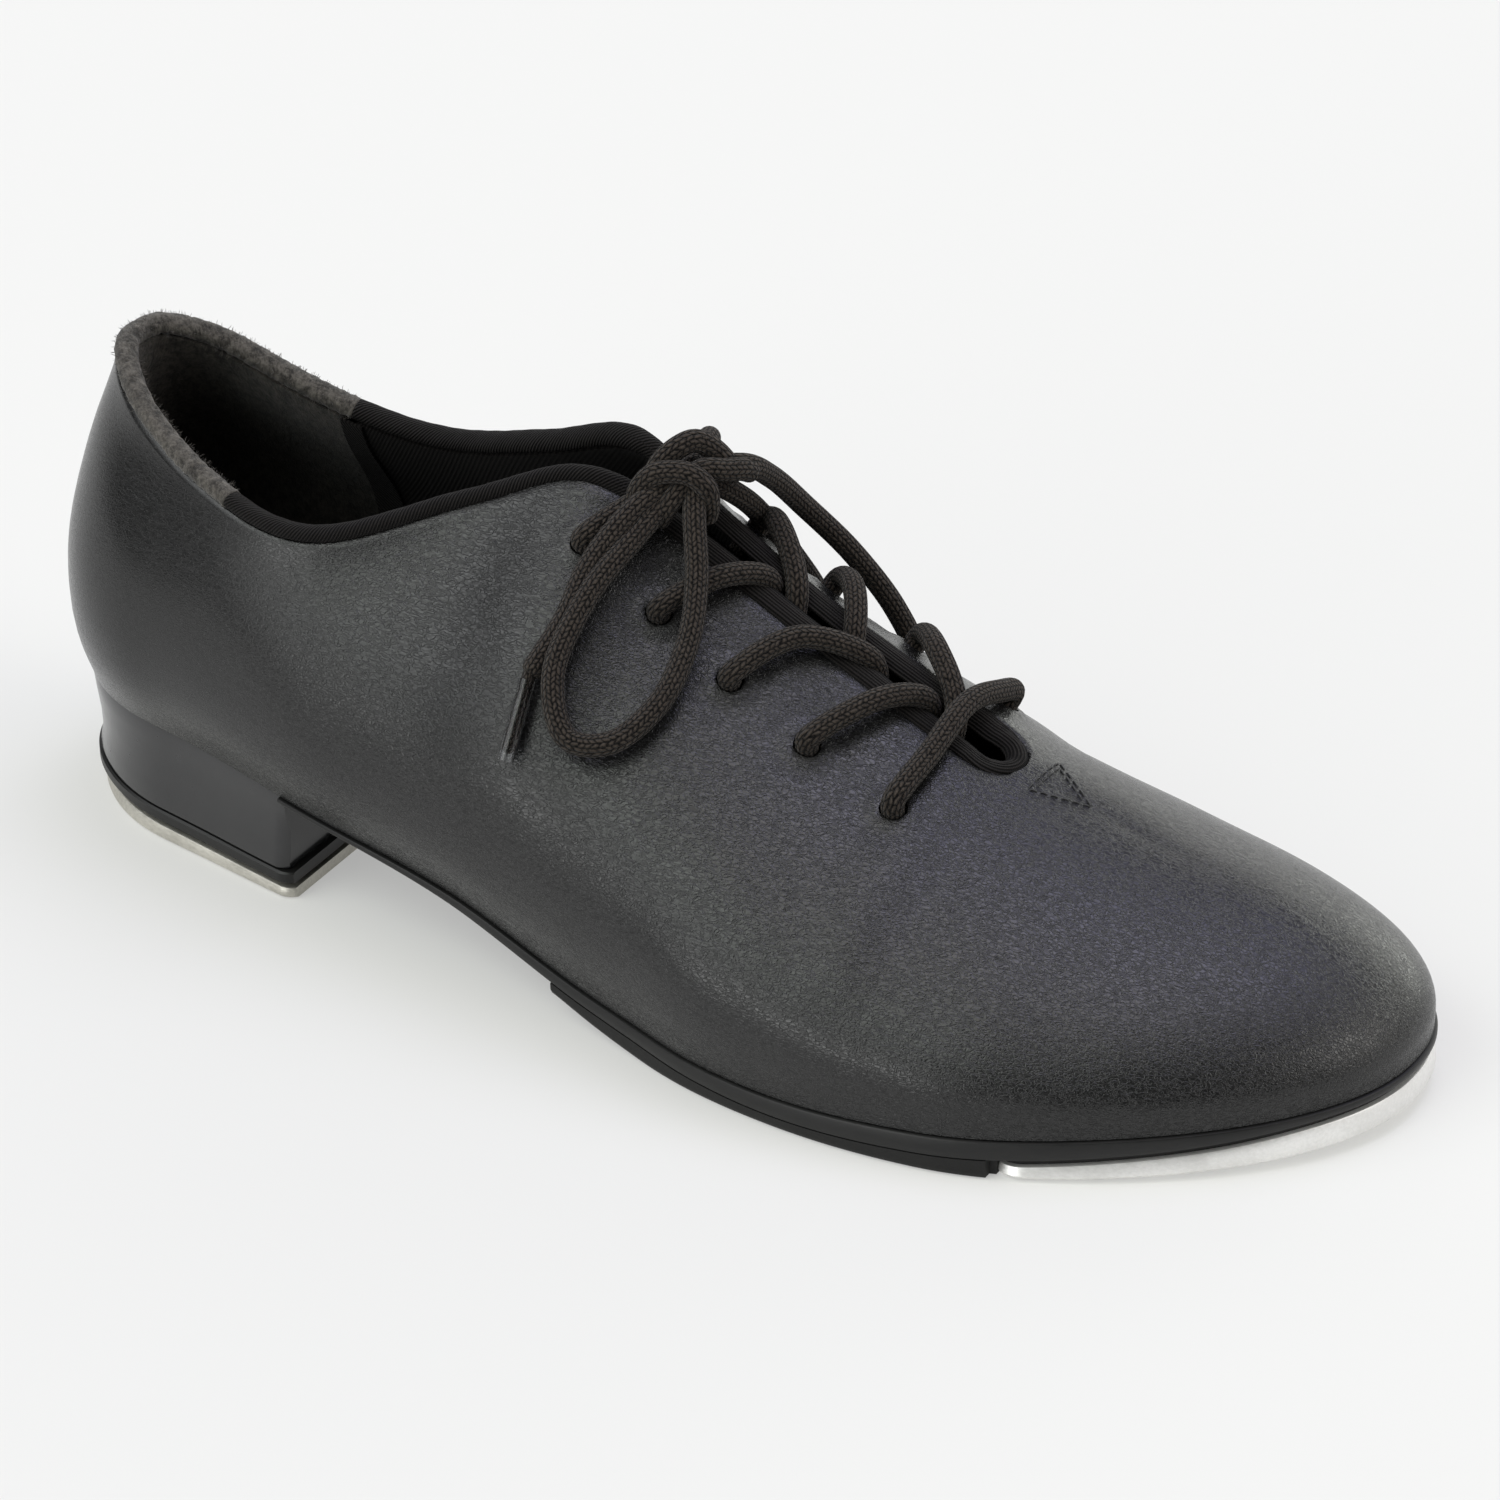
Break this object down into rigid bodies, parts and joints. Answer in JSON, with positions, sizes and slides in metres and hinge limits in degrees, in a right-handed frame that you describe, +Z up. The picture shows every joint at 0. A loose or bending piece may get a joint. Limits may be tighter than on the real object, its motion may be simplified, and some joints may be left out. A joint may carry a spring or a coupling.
{
  "type": "tap shoe",
  "caption": "Black lace-up tap shoe for the right foot, adult size, with a low heel, a thin flexing sole, metal taps under toe and heel, and a tied bow",
  "frame": {"origin": "on the floor, below the middle of the shoe without its free lace ends", "axes": "+X towards the toe, +Y towards the inner (big toe) side, +Z up"},
  "size_m": [0.286, 0.1041, 0.099],
  "materials": {
    "leather": "fine-grained black synthetic leather, satin",
    "felt": "grey brushed felt",
    "twill": "black twill lining",
    "tape": "black ribbed edge tape",
    "stiffener": "moulded fibre stiffener",
    "board": "pressed fibre board",
    "sole": "black rubber, fine matt texture",
    "heel": "glossy black stacked heel",
    "steel": "plain zinc-plated steel",
    "tap": "brushed cast aluminium with a polished bevel",
    "cotton": "black braided round cotton",
    "aglet": "clear plastic film"
  },
  "bodies": {
    "rearfoot": {"upper_rear": "leather", "upper_crease": "leather", "heel_lining": "felt", "lining_rear": "twill", "lining_crease": "twill", "heel_counter": "stiffener", "eyelet_stay_outer": "stiffener", "eyelet_stay_inner": "stiffener", "topline_tape": "tape", "heel_edge_strip": "felt", "tongue": "tape", "insole_board_rear": "board", "sock_lining_rear": "twill", "shank": "steel", "outsole_rear": "sole", "forefoot_pad_rear": "sole", "heel_block": "heel", "heel_top_lift": "sole", "heel_tap_board": "board", "heel_tap": "tap", "heel_tap_screw_1": "steel", "heel_tap_screw_2": "steel", "heel_tap_screw_3": "steel", "heel_nail_1": "steel", "heel_nail_2": "steel", "heel_nail_3": "steel", "heel_nail_4": "steel", "heel_nail_5": "steel", "lace": "cotton", "lace_loop_outer": "cotton", "lace_loop_inner": "cotton", "lace_end_outer": "cotton", "lace_end_inner": "cotton", "aglet_outer": "aglet", "aglet_inner": "aglet"},
    "forefoot": {"upper_front": "leather", "lining_front": "twill", "toe_puff": "stiffener", "insole_board_front": "board", "sock_lining_front": "twill", "outsole_front": "sole", "forefoot_pad_front": "sole", "toe_tap_board": "sole", "toe_tap": "tap", "toe_tap_screw_1": "steel", "toe_tap_screw_2": "steel", "toe_tap_screw_3": "steel"}
  },
  "joints": [
    {"name": "ball_flex", "type": "hinge", "parent": "rearfoot", "child": "forefoot", "pos_m": [0.0559, 0, 0.005], "axis": [0, -1, 0], "range_deg": [0, 25], "stiffness_Nm_per_rad": 1.5, "deforming": ["upper_crease", "lining_crease"]}
  ]
}
